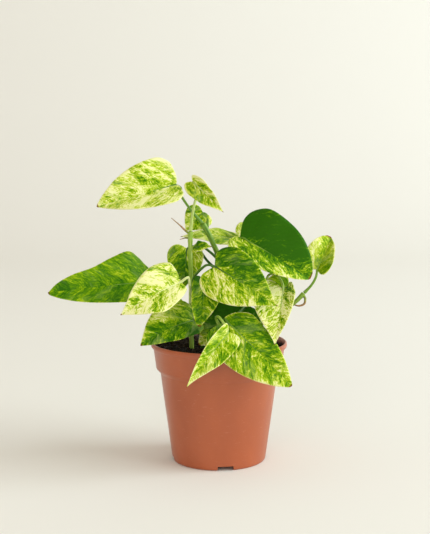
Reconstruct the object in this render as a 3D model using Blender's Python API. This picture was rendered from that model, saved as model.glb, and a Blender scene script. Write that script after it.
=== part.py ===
"""Potted pothos: a 12 cm nursery pot of peat with several rooted stems and their leaves.

Lengths in the tables are millimetres, and MM turns them into the metres of the scene.
The pot stands on z = 0 with its axis on the z axis; -y is the front.
"""

import math
from collections import namedtuple

import bmesh
import bpy
from mathutils import Matrix, Vector

MM = 0.001
GAP = 0.35  # clearance between pieces that touch in the real plant

# ---- pot ----
POT_HEIGHT = 105.6
RIM_RADIUS = 60.0
WALL = 1.2
POT_SIDES = 40
FOOT_CLEARANCE = 4.2  # height of the drain notches and of the raised bottom
NOTCH_WIDTH = 14.0
NOTCH_COUNT = 4
NOTCH_TURN = math.radians(-82)
NOTCH_RING = 39.9  # radius of the foot ring's middle
NOTCH_CUT = 8.0  # how far a notch's cutter reaches through the foot ring
DRAIN_RADIUS = 3.5
DRAIN_RING = 25.0
DRAIN_COUNT = 6
DRAIN_CUT = 6.0  # length of a drain hole's cutter
PAD_RADIUS = 13.0  # flat middle of the underside, which also touches the ground

# ---- peat ----
SOIL_TOP = 99.5
SOIL_SIDES = 32
SOCKET_FLOOR = 78.0  # how deep the cuttings are pushed in
SOCKET_DEPTH = 30.0

# ---- blades ----
BLADE_THICKNESS = 0.55
STALK_SIDES = 6
VINE_SIDES = 8
BLADE_ROWS = 9  # steps between the rows of an outline
BLADE_COLUMNS = 4  # across the whole blade, so half of them on each side of the midrib
STALK_RADIUS = 1.25
STALK_TAPER = 0.2  # loss of radius from each of the last rings to the next
TAPERED_RINGS = 4
STALK_STEP = 9.0
VINE_STEP = 8.0
SPUR_STEP = 5.0
KEEL_DROP = 0.45  # how far the keel's middle lies below the midrib
KEEL_PLACES = (0.03, 0.2, 0.45)  # shares of the midrib

# Half outline of a blade, from the notch at its base to its tip: place along the midrib where
# the row starts, place along the midrib of its edge point, and that point's share of the half width.
OUTLINE = (
    (0.00, -0.035, 0.17),
    (0.02, -0.075, 0.46),
    (0.05, -0.035, 0.75),
    (0.13, 0.09, 0.97),
    (0.24, 0.26, 1.00),
    (0.40, 0.48, 0.86),
    (0.57, 0.68, 0.57),
    (0.73, 0.83, 0.28),
    (0.89, 0.94, 0.08),
    (1.00, 1.00, 0.00),
)
# The same rows for a half that is pulled up into a ridge near the base and narrow beyond it
SLOPED = (
    (0.00, -0.035, 0.17),
    (0.02, -0.03, 0.36),
    (0.05, 0.02, 0.52),
    (0.13, 0.12, 0.72),
    (0.24, 0.28, 0.92),
    (0.40, 0.47, 1.00),
    (0.57, 0.66, 0.75),
    (0.73, 0.82, 0.42),
    (0.89, 0.94, 0.13),
    (1.00, 1.00, 0.00),
)
RIDGED = (
    (0.00, -0.035, 0.17),
    (0.02, -0.05, 0.42),
    (0.05, -0.01, 0.62),
    (0.13, 0.05, 0.84),
    (0.24, 0.16, 1.00),
    (0.40, 0.35, 0.82),
    (0.57, 0.55, 0.57),
    (0.73, 0.75, 0.43),
    (0.89, 0.90, 0.24),
    (1.00, 1.00, 0.00),
)
SHOULDER = 0.1  # where the outline's base ends and its taper to the tip begins

# width of the half in mm, angle in degrees by which it is folded up from the midrib, fullness
# towards the tip and slimness at the base (0 is the plain outline), and its outline
Half = namedtuple("Half", "width fold full slim outline", defaults=(8, 0, 0, OUTLINE))
Leaf = namedtuple("Leaf", "base tip face right left arch lobe stalk", defaults=(3, 1, ()))
# right and left are as seen from above the blade, looking from its base to its tip; stalk runs
# from the stem to the base

LEAVES = {
    "leaf_top_left": Leaf(
        (-37, -8, 244), (-104, -24, 226), (-0.1, -0.98, 0.1),
        Half(27, 5, 0.35, 0.4), Half(25, 52, 0.25, 0.5), 3, 0.4,
        ((-14.5, 1.9, 209.8), (-20, 0, 216), (-27, -2, 225), (-33, -5, 235), (-33, -7, 241)),
    ),
    "leaf_top_folded": Leaf(
        (-23, -10, 247), (4, -22, 221), (0.1, -0.95, 0.3), Half(11, 5), Half(10, 58), 2, 1,
        ((-24.8, -4, 203.7), (-23.5, -5, 215), (-21.5, -5, 226), (-19.5, -4, 235), (-20, -5, 243)),
    ),
    "leaf_top_young": Leaf(
        (-14, 16, 218), (-30, 10, 202), (-0.1, -0.95, 0.3), Half(13), Half(13), 1, 1,
        ((-10.5, 6.5, 206), (-10, 12, 211), (-11, 17, 216)),
    ),
    "leaf_left_long": Leaf(
        (-61, -6, 159), (-146, -30, 153), (0, -0.9, 0.3),
        Half(29.5, 5, outline=RIDGED), Half(22, 35, 0.45), 4, 1,
        ((-29.8, 5, 136.2), (-39, 2, 147), (-50, -3, 155)),
    ),
    "leaf_left_cream": Leaf(
        (-32, -38, 163.5), (-82, -60, 139), (-0.2, -0.9, 0.4),
        Half(23, 12), Half(19, 12, outline=SLOPED), 4, 0.3,
        ((-24, -4.8, 141), (-24, -14, 148), (-25, -25, 157), (-25.5, -33, 165), (-27, -37, 167)),
    ),
    "leaf_left_low": Leaf(
        (-22.5, -15, 126.5), (-67, -38, 109), (-0.1, -0.8, 0.55),
        Half(25, 12, 0.2), Half(16, 12, 0.3), 6, 1.3,
        ((-24.8, -6.6, 115), (-24, -11, 119.5), (-21.5, -13.5, 124)),
    ),
    "leaf_inner_round": Leaf(
        (-28, 8, 187), (-31, 6, 151), (0, -0.95, 0.1), Half(17, 8), Half(15, 8), 3, 1,
        ((-1.2, 14.2, 166), (-10.5, 13, 175.6), (-17, 12, 184.5), (-23, 11, 188.5)),
    ),
    "leaf_centre_down": Leaf(
        (-12, -17, 161), (-16, -38, 125), (0.1, -0.95, 0.3), Half(13, 30, 0.6), Half(16, 25, 0.15), 3, 1,
        ((0.6, 6, 152.6), (-4, -4, 162), (-9, -12, 165)),
    ),
    "leaf_centre_large": Leaf(
        (-4, -32, 176), (49, -52, 145), (0.15, -0.98, 0.15), Half(25, 6), Half(23.5, 6), 4, 1,
        ((-21.4, -3.6, 152), (-22, -12, 163), (-14, -25, 174), (-9, -31, 177)),
    ),
    "leaf_right_dark": Leaf(
        (18, -10, 199), (78, -28, 165), (0.2, -0.95, 0.2), Half(24, 35, 0.4, 0.3), Half(34, 4, 0.52), 4, 1,
        ((2.6, 1.8, 152.6), (8, -3, 172), (14, -6, 190)),
    ),
    "leaf_back_light": Leaf(
        (17, 30, 193), (-34, 16, 197), (0, -0.45, 0.9), Half(12), Half(18), 3, 1,
        ((7.4, 8.4, 152.6), (14, 18, 168), (20, 29, 186)),
    ),
    "leaf_back_small": Leaf(
        (24, 16, 197), (44, 42, 207), (0.1, -0.5, 0.85), Half(14), Half(14), 3, 1,
        ((5.6, 3.6, 152.6), (20, 5, 172), (25, 10, 190)),
    ),
    "leaf_right_small": Leaf(
        (86, 0, 169), (99, 12, 197), (0, -0.98, -0.1), Half(14, 55, 0.3), Half(17, 8, 0.6), 2, 1,
        ((74.7, -4, 149.3), (81, -3, 156), (85, -1, 163)),
    ),
    "leaf_right_cream": Leaf(
        (55, -24, 155), (46, -62, 114), (0, -0.95, 0.3), Half(25, 6), Half(12.8, 38), 4, 2,
        ((39.5, 0.4, 126.4), (41, 0, 145), (42, -6, 163), (48, -14, 167), (54, -20, 161)),
    ),
    "leaf_right_inner": Leaf(
        (60, 14, 151), (34, 18, 148), (0, -0.7, 0.7), Half(15), Half(15), 3, 1,
        ((60, 1.5, 139.4), (63, 8, 144), (62, 13, 149)),
    ),
    "leaf_front_narrow": Leaf(
        (8, -53.5, 123.5), (-27, -80, 82), (-0.1, -0.9, 0.4), Half(14, 68, 0.1), Half(14.5, 4, -0.2), 4, 0.4,
        ((1.6, -38.6, 124), (-2.5, -39, 132), (-0.5, -46, 135), (4.5, -53, 129.5)),
    ),
    "leaf_front_large": Leaf(
        (6, -44, 131), (60, -70, 81), (0.1, -0.95, 0.3), Half(28, 6, 0.4), Half(19, 6, 0.35, 1), 4, 0.6,
        ((5, -36.5, 124), (4.5, -38, 129), (5, -42, 132.5)),
    ),
    "leaf_low_inner": Leaf(
        (26, -5, 138), (-18, -9, 104), (-0.1, -0.95, 0.2), Half(22, 6, 0.3), Half(22, 6, 0.3), 2, 1,
        ((5.6, -30.4, 117), (11, -24, 127), (21, -10, 137)),
    ),
    "leaf_mid_small": Leaf(
        (-22, -6, 189), (-6, -14, 191), (0.1, -0.8, 0.6), Half(6), Half(6), 2, 1,
        ((-2, 3.3, 179), (-5, 2.6, 182), (-13, 0, 188.5), (-18, -4, 190)),
    ),
}

# Each stem: its route from the socket upwards, with the radius at each point
VINES = {
    "vine_tall": (
        (-24, -4, 79, 2.1), (-24, -4, 103, 2.1), (-24.5, -3.5, 118, 2.2), (-24.6, -1.5, 140, 2.0),
        (-24.6, 0, 160, 1.9), (-25, -3, 180, 1.9), (-25, -4, 197, 2.0), (-25, -4, 203, 2.3),
    ),
    "vine_lean": (
        (12, 18, 79, 2.4), (12, 18, 103, 2.4), (9, 18, 130, 2.4), (4, 16, 160, 2.4),
        (-1, 9, 181, 2.4), (-5, 5, 191, 2.3), (-9, 3, 200, 2.3), (-14, 2, 209, 2.8),
    ),
    "vine_centre": (
        (2, 4, 79, 2.6), (2, 4, 103, 2.6), (3, 5, 125, 2.6), (4, 6, 148, 2.8), (4, 6, 151, 2.4),
    ),
    "vine_right": (
        (24, 4, 79, 2.1), (24.4, 4, 103, 2.1), (29, 3, 114, 2.1), (40, 0, 123, 2.1),
        (54, -3, 132, 1.9), (66, -4, 140.5, 1.8), (74, -4, 148.5, 2.2),
    ),
    "vine_front": (
        (4, -30, 79, 2.2), (4, -30, 103, 2.2), (4, -32, 113, 2.2), (3.5, -36, 122, 2.5),
    ),
    "vine_left": (
        (-14, 4, 79, 2.3), (-14, 4, 103, 2.3), (-17, 4, 113, 2.3), (-23, 5, 124, 2.3),
        (-29, 5, 135, 2.4),
    ),
}

# Thin growths that belong to a stem: a dry leaf sheath and a hooked aerial root
SPURS = {
    "vine_tall": (
        ((-25, -4, 201, 1.4), (-29, -5, 204, 1.1), (-34, -7, 209, 0.7), (-41, -8, 215, 0.35)),
        ((-25, -4, 197, 1.2), (-29, -3, 197.5, 0.8), (-34, -2, 196, 0.35)),
    ),
    "vine_right": (
        ((74, -4, 147, 1.3), (75.5, -5, 144, 1.2), (74.5, -5.5, 139.5, 1.1), (70, -6.5, 138, 0.9),
         (66, -8, 139, 0.6)),
    ),
}


def material(name, colour, roughness):
    """A Principled material; colour is linear RGB."""
    made = bpy.data.materials.new(name)
    made.use_nodes = True
    shader = made.node_tree.nodes["Principled BSDF"]
    shader.inputs["Base Color"].default_value = (*colour, 1)
    shader.inputs["Roughness"].default_value = roughness
    made.diffuse_color = (*colour, 1)
    return made


def add_object(name, mesh, made_of):
    obj = bpy.data.objects.new(name, mesh)
    mesh.materials.append(made_of)
    bpy.context.scene.collection.objects.link(obj)
    return obj


def finish_mesh(name, bm):
    bmesh.ops.recalc_face_normals(bm, faces=bm.faces)
    mesh = bpy.data.meshes.new(name)
    bm.to_mesh(mesh)
    bm.free()
    mesh.shade_smooth()
    mesh.set_sharp_from_angle(angle=math.radians(40))
    return mesh


def add_boolean(obj, other, operation):
    """Cuts or joins the helper, which then stays out of renders."""
    other.hide_render = True
    other.display_type = "WIRE"
    modifier = obj.modifiers.new(other.name, "BOOLEAN")
    modifier.object = other
    modifier.operation = operation
    modifier.solver = "EXACT"


def spun(bm, profile, sides):
    """A closed (radius, height) profile in mm turned once round the z axis."""
    verts = [bm.verts.new((radius * MM, 0, height * MM)) for radius, height in profile]
    edges = [bm.edges.new(pair) for pair in zip(verts, verts[1:])]
    bmesh.ops.spin(
        bm, geom=verts + edges, cent=(0, 0, 0), axis=(0, 0, 1), angle=math.tau, steps=sides,
        use_merge=True,
    )
    bmesh.ops.remove_doubles(bm, verts=bm.verts, dist=1e-6)


def ring_edges(ring):
    touching = {edge for vert in ring for edge in vert.link_edges}
    return [edge for edge in touching if all(end in ring for end in edge.verts)]


def tube(bm, points, radii, sides):
    """A round tube with closed ends, through points in mm."""
    centres = [Vector(point) * MM for point in points]
    across = (centres[1] - centres[0]).orthogonal()
    rings = []
    for index, (centre, radius) in enumerate(zip(centres, radii)):
        before = centres[max(index - 1, 0)]
        after = centres[min(index + 1, len(centres) - 1)]
        along = (after - before).normalized()
        across = (across - across.dot(along) * along).normalized()
        frame = Matrix((across, along.cross(across), along)).transposed().to_4x4()
        place = Matrix.Translation(centre) @ frame
        rings.append(bmesh.ops.create_circle(bm, segments=sides, radius=radius * MM, matrix=place)["verts"])
    for ring, following in zip(rings, rings[1:]):
        bmesh.ops.bridge_loops(bm, edges=ring_edges(ring) + ring_edges(following))
    bmesh.ops.holes_fill(bm, edges=ring_edges(rings[0]) + ring_edges(rings[-1]), sides=sides)


def smooth_route(points, step):
    """Points every step mm or so on a smooth curve through the given ones (Catmull-Rom)."""
    points = [Vector(point) for point in points]
    ends = [2 * points[0] - points[1], *points, 2 * points[-1] - points[-2]]
    route = []
    for before, start, end, after in zip(ends, ends[1:], ends[2:], ends[3:]):
        count = max(1, round((end - start).to_3d().length / step))
        for index in range(count):
            t = index / count
            route.append(
                0.5
                * (
                    2 * start
                    + (end - before) * t
                    + (2 * before - 5 * start + 4 * end - after) * t**2
                    + (3 * start - before - 3 * end + after) * t**3
                )
            )
    return [*route, points[-1]]


class Blade:
    """The curved surface of one leaf blade; places on it are in mm."""

    def __init__(self, leaf):
        self.leaf = leaf
        self.base = Vector(leaf.base)
        self.run = Vector(leaf.tip) - self.base
        along = self.run.normalized()
        face = Vector(leaf.face)
        self.up = (face - face.dot(along) * along).normalized()

    def spine(self, x):
        rise = 4 * x * (1 - x) if x > 0 else 4 * x
        return self.base + self.run * x + self.up * self.leaf.arch * rise

    def frame(self, x):
        """Sideways and upward directions at x along the midrib."""
        along = (self.spine(x + 0.01) - self.spine(x - 0.01)).normalized()
        up = (self.up - self.up.dot(along) * along).normalized()
        return along.cross(up), up

    def point(self, row, across):
        """row counts the outline's rows, across runs from -1 (left edge) to 1 (right edge)."""
        half = self.leaf.right if across > 0 else self.leaf.left
        start, edge, width = half.outline[row]
        reach = abs(across)
        if edge < 0:
            edge *= self.leaf.lobe
        width **= 1 - half.full if edge > SHOULDER else 1 + 2 * half.slim
        x = start + (edge - start) * reach**1.15
        side, up = self.frame(x)
        fold = math.radians(half.fold)
        out = side * math.copysign(math.cos(fold), across) + up * math.sin(fold)
        return self.spine(x) + out * (half.width * width * reach)


def add_blade(name, leaf, made_of):
    blade = Blade(leaf)
    bm = bmesh.new()
    bmesh.ops.create_grid(bm, x_segments=BLADE_ROWS, y_segments=BLADE_COLUMNS, size=1)
    for vert in bm.verts:
        vert.co = blade.point(round((vert.co.x + 1) / 2 * BLADE_ROWS), vert.co.y) * MM
    bmesh.ops.remove_doubles(bm, verts=bm.verts, dist=0.02 * MM)
    bmesh.ops.recalc_face_normals(bm, faces=bm.faces)
    bmesh.ops.solidify(bm, geom=bm.faces, thickness=BLADE_THICKNESS * MM)
    obj = add_object(name, finish_mesh(name, bm), made_of)
    add_boolean(obj, add_stalk(name, leaf, blade, made_of), "UNION")
    return obj


def add_stalk(name, leaf, blade, made_of):
    """The leaf stalk, carried on as a keel under the midrib."""
    keel = [blade.spine(x) - blade.up * KEEL_DROP for x in KEEL_PLACES]
    route = smooth_route([*leaf.stalk, *keel], STALK_STEP)
    to_tip = reversed(range(len(route)))
    radii = [STALK_RADIUS - STALK_TAPER * max(0, TAPERED_RINGS - left) for left in to_tip]
    bm = bmesh.new()
    tube(bm, route, radii, STALK_SIDES)
    return add_object(name + "-stalk", finish_mesh(name, bm), made_of)


def add_vine(name, route, made_of):
    bm = bmesh.new()
    route = smooth_route(route, VINE_STEP)
    tube(bm, [point[:3] for point in route], [point[3] for point in route], VINE_SIDES)
    obj = add_object(name, finish_mesh(name, bm), made_of)
    for number, spur in enumerate(SPURS.get(name, ()), 1):
        bm = bmesh.new()
        points = smooth_route(spur, SPUR_STEP)
        tube(bm, [point[:3] for point in points], [point[3] for point in points], STALK_SIDES)
        helper = add_object(f"{name}-spur-{number}", finish_mesh(name, bm), made_of)
        add_boolean(obj, helper, "UNION")
    return obj


def add_pot(made_of):
    """The moulded shell: lip, band, shoulder, wall, foot ring and raised bottom."""
    lip = POT_HEIGHT
    profile = (
        (0, 0), (PAD_RADIUS, 0), (PAD_RADIUS + 1, FOOT_CLEARANCE), (37, FOOT_CLEARANCE),
        (38, 0), (40.2, 0), (41.4, 1.6), (41.9, 5), (44.6, 25), (49.6, 62), (51.7, 78.7),
        (55.4, 82.7), (57.8, 101), (59.6, 101.4), (RIM_RADIUS, 103.3), (59.6, 105.1),
        (59, lip), (58.6, lip), (58.1, 104.8), (56.6, 101), (54.4, 83.6), (50.6, 79.4),
        (48.4, 62), (43.4, 25), (40.7, 6.2), (39.6, FOOT_CLEARANCE + WALL), (0, FOOT_CLEARANCE + WALL),
    )
    bm = bmesh.new()
    spun(bm, profile, POT_SIDES)
    pot = add_object("pot", finish_mesh("pot", bm), made_of)
    for number in range(NOTCH_COUNT):
        turn = Matrix.Rotation(NOTCH_TURN + math.tau * number / NOTCH_COUNT, 4, "Z")
        bm = bmesh.new()
        size = Matrix.Diagonal((NOTCH_CUT * MM, NOTCH_WIDTH * MM, 2 * (FOOT_CLEARANCE - 0.3) * MM, 1))
        bmesh.ops.create_cube(bm, size=1, matrix=turn @ Matrix.Translation((NOTCH_RING * MM, 0, 0)) @ size)
        cutter = add_object(f"pot-notch-{number}", finish_mesh("notch", bm), made_of)
        add_boolean(pot, cutter, "DIFFERENCE")
    for number in range(DRAIN_COUNT):
        turn = Matrix.Rotation(math.tau * number / DRAIN_COUNT, 4, "Z")
        place = turn @ Matrix.Translation((DRAIN_RING * MM, 0, FOOT_CLEARANCE * MM))
        bm = bmesh.new()
        bmesh.ops.create_cone(
            bm, cap_ends=True, segments=12, radius1=DRAIN_RADIUS * MM, radius2=DRAIN_RADIUS * MM,
            depth=DRAIN_CUT * MM, matrix=place,
        )
        cutter = add_object(f"pot-drain-{number}", finish_mesh("drain", bm), made_of)
        add_boolean(pot, cutter, "DIFFERENCE")
    return pot


def soil_bump(x, y):
    """Height in mm of the loose surface over its mean level."""
    return 0.9 * math.sin(x / 6.5 + 1.3) * math.cos(y / 7.5) + 0.6 * math.sin((x + 2 * y) / 9)


def add_soil(made_of):
    floor = FOOT_CLEARANCE + WALL + GAP
    profile = (
        (0, floor), (39.2, floor + 0.2), (40.3, 7), (42.9, 25), (47.9, 62), (50.1, 79.3),
        (53.9, 83.7), (55.9, 97.8), (54.8, SOIL_TOP), (46, SOIL_TOP), (36, SOIL_TOP),
        (25, SOIL_TOP), (13, SOIL_TOP), (0, SOIL_TOP),
    )
    bm = bmesh.new()
    spun(bm, profile, SOIL_SIDES)
    for vert in bm.verts:
        if vert.co.z > (SOIL_TOP - 0.1) * MM:
            vert.co.z += soil_bump(vert.co.x / MM, vert.co.y / MM) * MM
    soil = add_object("soil", finish_mesh("soil", bm), made_of)
    for name, route in VINES.items():
        x, y, _, radius = route[0]
        middle = Vector((x, y, SOCKET_FLOOR + SOCKET_DEPTH / 2)) * MM
        bm = bmesh.new()
        bmesh.ops.create_cone(
            bm, cap_ends=True, segments=12, radius1=(radius + GAP) * MM, radius2=(radius + GAP) * MM,
            depth=SOCKET_DEPTH * MM, matrix=Matrix.Translation(middle),
        )
        cutter = add_object(f"soil-socket-{name}", finish_mesh("socket", bm), made_of)
        add_boolean(soil, cutter, "DIFFERENCE")
    return soil


def main():
    for obj in list(bpy.data.objects):
        bpy.data.objects.remove(obj)
    terracotta = material("pot plastic", (0.38, 0.11, 0.05), 0.45)
    peat = material("peat", (0.02, 0.012, 0.006), 0.95)
    stem_green = material("stem", (0.14, 0.30, 0.02), 0.5)
    add_pot(terracotta)
    add_soil(peat)
    for name, route in VINES.items():
        add_vine(name, route, stem_green)
    for name, leaf in LEAVES.items():
        add_blade(name, leaf, material(name, (0.22, 0.42, 0.03), 0.4))


main()
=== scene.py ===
"""A young marbled pothos in a 12 cm nursery pot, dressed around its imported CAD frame.

Sizes are in millimetres unless a comment says otherwise, and MM turns them into the metres of
the scene. The pot stands on z = 0 with its axis on the z axis, and -y is the plant's front.
"""

import logging
import math
import random
from collections.abc import Callable, Sequence
from dataclasses import dataclass, field
from enum import Enum

import bmesh
import bpy
from bmesh.types import BMEdge, BMesh, BMVert
from bpy.types import ID, Material, Mesh, Node, NodeSocket, NodeTree, Object
from mathutils import Matrix, Vector, noise

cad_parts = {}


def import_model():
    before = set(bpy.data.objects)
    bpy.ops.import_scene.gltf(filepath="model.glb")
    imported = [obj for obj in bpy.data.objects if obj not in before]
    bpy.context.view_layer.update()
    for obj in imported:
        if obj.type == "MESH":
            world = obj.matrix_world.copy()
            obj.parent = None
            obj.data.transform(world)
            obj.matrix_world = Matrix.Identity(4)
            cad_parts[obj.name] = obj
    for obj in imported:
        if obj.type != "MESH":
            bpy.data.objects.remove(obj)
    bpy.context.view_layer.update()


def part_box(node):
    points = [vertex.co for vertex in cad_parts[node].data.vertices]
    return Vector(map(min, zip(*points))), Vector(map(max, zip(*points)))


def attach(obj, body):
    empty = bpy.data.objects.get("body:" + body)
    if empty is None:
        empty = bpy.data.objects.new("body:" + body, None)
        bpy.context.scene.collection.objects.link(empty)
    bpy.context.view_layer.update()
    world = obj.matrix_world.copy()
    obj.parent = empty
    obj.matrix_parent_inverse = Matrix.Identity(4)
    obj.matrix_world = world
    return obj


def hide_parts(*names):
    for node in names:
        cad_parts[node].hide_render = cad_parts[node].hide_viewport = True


MM = 0.001
BODY = "root"

log = logging.getLogger("pothos")

Colour = tuple[float, float, float]
Point = tuple[float, float, float]
Station = tuple[float, float, float, float]  # a point with the radius there


def linear(red: int, green: int, blue: int) -> Colour:
    """Turns an 8-bit display colour into linear light, from 0 to 1."""
    shares = (red / 255, green / 255, blue / 255)
    return tuple(c / 12.92 if c <= 0.04045 else ((c + 0.055) / 1.055) ** 2.4 for c in shares)


def bell(distance: float, width: float) -> float:
    """A smooth bump: 1 at no distance, and nearly 0 past twice the width."""
    return math.exp(-((distance / width) ** 2))


def with_ends(points: Sequence[Sequence[float]]) -> list[Vector]:
    """The points as vectors, with one more straight on at each end."""
    points = [Vector(point) for point in points]
    return [2 * points[0] - points[1], *points, 2 * points[-1] - points[-2]]


def curve_point(near: Sequence[Vector], t: float) -> Vector:
    """Reads a smooth curve through points (Catmull-Rom).

    Args:
        near: four points in a row.
        t: how far the place is from the second of them to the third, from 0 to 1.

    Returns:
        The curve's point there.
    """
    before, start, end, after = near
    bend = 2 * before - 5 * start + 4 * end - after
    twist = 3 * start - before - 3 * end + after
    return 0.5 * (2 * start + (end - before) * t + bend * t**2 + twist * t**3)


def smooth_route(points: Sequence[Sequence[float]], step: float) -> list[Vector]:
    """Reads a smooth curve at nearly even distances.

    Args:
        points: the curve's own points, of three dimensions or more.
        step: the wanted distance between two points of the result.

    Returns:
        The points of the curve, with the first and the last of the given ones at its ends.
    """
    ends = with_ends(points)
    route = []
    for near in zip(ends, ends[1:], ends[2:], ends[3:]):
        count = max(1, round((near[2] - near[1]).to_3d().length / step))
        route += [curve_point(near, index / count) for index in range(count)]
    return [*route, ends[-2]]


def smooth_rows(outline: Sequence[Point], count: int) -> list[Vector]:
    """Reads an outline smoothly at even steps of its own rows.

    Args:
        outline: the outline's rows.
        count: the number of steps.

    Returns:
        count + 1 rows.
    """
    ends = with_ends(outline)
    last = len(outline) - 1
    rows = []
    for step in range(count + 1):
        place = step / count * last
        index = min(int(place), last - 1)
        row = curve_point(ends[index : index + 4], place - index)
        row.z = max(row.z, 0.0)
        rows.append(row)
    return rows


# --- Shader tools ---


class Graph:
    """Adds nodes to one node tree, so that a finish reads as a list of steps."""

    def __init__(self, tree: NodeTree) -> None:
        """Keeps the tree that the nodes go to."""
        self.tree = tree

    def add(self, kind: str, inputs: dict | None = None, **settings: object) -> Node:
        """Adds a node.

        Args:
            kind: the node's type, without ShaderNode in front.
            inputs: values or sockets for the node's inputs, by name or number.
            settings: the node's own properties.

        Returns:
            The new node.
        """
        node = self.tree.nodes.new(kind if kind.startswith("Node") else "ShaderNode" + kind)
        for name, value in settings.items():
            setattr(node, name, value)
        for name, value in (inputs or {}).items():
            self.feed(node.inputs[name], value)
        return node

    def feed(self, socket: NodeSocket, value: object) -> None:
        """Links a socket to the input, or sets the input to a plain value."""
        if isinstance(value, NodeSocket):
            self.tree.links.new(value, socket)
        elif isinstance(value, tuple) and len(value) == 3 and socket.type == "RGBA":
            socket.default_value = (*value, 1)
        else:
            socket.default_value = value

    def attribute(self, name: str, output: str = "Fac") -> NodeSocket:
        """What a piece's points have noted under a name."""
        return self.add("Attribute", attribute_name=name).outputs[output]

    def place(self) -> NodeSocket:
        """The place on the piece, in metres."""
        return self.add("TexCoord").outputs["Object"]

    def split(self, vector: object) -> Sequence[NodeSocket]:
        """The three parts of a place."""
        return self.add("SeparateXYZ", {0: vector}).outputs

    def vector(self, *parts: object) -> NodeSocket:
        """A place made of its parts."""
        return self.add("CombineXYZ", dict(enumerate(parts))).outputs[0]

    def scaled(self, vector: object, scale: Point) -> NodeSocket:
        """Stretches a place by a factor for each axis."""
        return self.add("VectorMath", {0: vector, 1: scale}, operation="MULTIPLY").outputs[0]

    def math(self, operation: str, *values: object, clamp: bool = False) -> NodeSocket:
        """Does one sum on numbers, kept from 0 to 1 if clamp says so."""
        inputs = dict(enumerate(values))
        return self.add("Math", inputs, operation=operation, use_clamp=clamp).outputs[0]

    def swing(
        self, value: object, strength: object, total: object, clamp: bool = False
    ) -> NodeSocket:
        """Adds a noise value's swing about its middle, times strength, to a total."""
        from_middle = self.math("SUBTRACT", value, 0.5)
        return self.math("MULTIPLY_ADD", from_middle, strength, total, clamp=clamp)

    def noise(
        self, vector: object, scale: object, detail: float = 2, rough: float = 0.5
    ) -> NodeSocket:
        """Noise from about 0.3 to 0.7, with so many cells in a unit and finer layers."""
        inputs = {"Vector": vector, "Scale": scale, "Detail": detail, "Roughness": rough}
        return self.add("TexNoise", inputs).outputs[0]

    def spread(
        self, value: object, low: float, high: float, to_low: float = 0, to_high: float = 1
    ) -> NodeSocket:
        """Maps low and high to to_low and to_high smoothly, and keeps within them."""
        inputs = {0: value, 1: low, 2: high, 3: to_low, 4: to_high}
        return self.add("MapRange", inputs, interpolation_type="SMOOTHSTEP").outputs[0]

    def mix(self, share: object, first: object, second: object) -> NodeSocket:
        """Mixes two colours, where share is how much of the second there is."""
        inputs = {0: share, 6: first, 7: second}
        return self.add("Mix", inputs, data_type="RGBA").outputs[2]

    def ramp(self, value: object, stops: Sequence[tuple[float, Colour]]) -> NodeSocket:
        """Turns a number into a colour.

        Args:
            value: the number's socket.
            stops: places from 0 to 1 with their colours.

        Returns:
            The colour's socket.
        """
        node = self.add("ValToRGB", {0: value})
        elements = node.color_ramp.elements
        while len(elements) < len(stops):
            elements.new(0.5)
        for element, (place, colour) in zip(elements, stops):
            element.position = place
            element.color = (*colour, 1)
        return node.outputs[0]

    def bump(
        self, height: object, distance: float, strength: float = 1.0, normal: object = None
    ) -> NodeSocket:
        """Turns a height into a normal.

        Args:
            height: the height's socket, from 0 to 1.
            distance: how far a height of 1 stands out.
            strength: how much of it shows.
            normal: a normal to add to, if any.

        Returns:
            The normal's socket.
        """
        inputs = {"Strength": strength, "Distance": distance * MM, "Height": height}
        if normal is not None:
            inputs["Normal"] = normal
        return self.add("Bump", inputs).outputs[0]


class MaterialGraph(Graph):
    """A new material, with its shader and the nodes that lead to it."""

    def __init__(self, name: str) -> None:
        """Makes the material.

        Args:
            name: the material's name.
        """
        self.material = bpy.data.materials.new(name)
        self.material.use_nodes = True
        super().__init__(self.material.node_tree)
        self.shader = self.tree.nodes["Principled BSDF"]

    def reflect(self, level: float) -> None:
        """Sets how strongly the surface mirrors, where 0.5 is usual."""
        self.shader.inputs["Specular IOR Level"].default_value = level

    def finish(self, colour: object, rough: object, normal: object) -> Material:
        """Feeds the shader.

        Args:
            colour: the base colour.
            rough: the roughness.
            normal: the normal.

        Returns:
            The material.
        """
        inputs = {"Base Color": colour, "Roughness": rough, "Normal": normal}
        for name, value in inputs.items():
            self.feed(self.shader.inputs[name], value)
        return self.material


def new_group(name: str, inputs: dict[str, str], outputs: Sequence[str]) -> Graph:
    """Starts a shader node group.

    Args:
        name: the group's name.
        inputs: its inputs' names with their socket types.
        outputs: its outputs' names, all of them numbers.

    Returns:
        A graph that adds nodes to the group.
    """
    tree = bpy.data.node_groups.new(name, "ShaderNodeTree")
    for side, sockets in (("INPUT", inputs), ("OUTPUT", dict.fromkeys(outputs, "Float"))):
        for socket, kind in sockets.items():
            tree.interface.new_socket(socket, in_out=side, socket_type="NodeSocket" + kind)
    return Graph(tree)


def shared_group(name: str, build: Callable[[], NodeTree]) -> NodeTree:
    """Finds a node group by its name, or builds it the first time."""
    return bpy.data.node_groups.get(name) or build()


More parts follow.
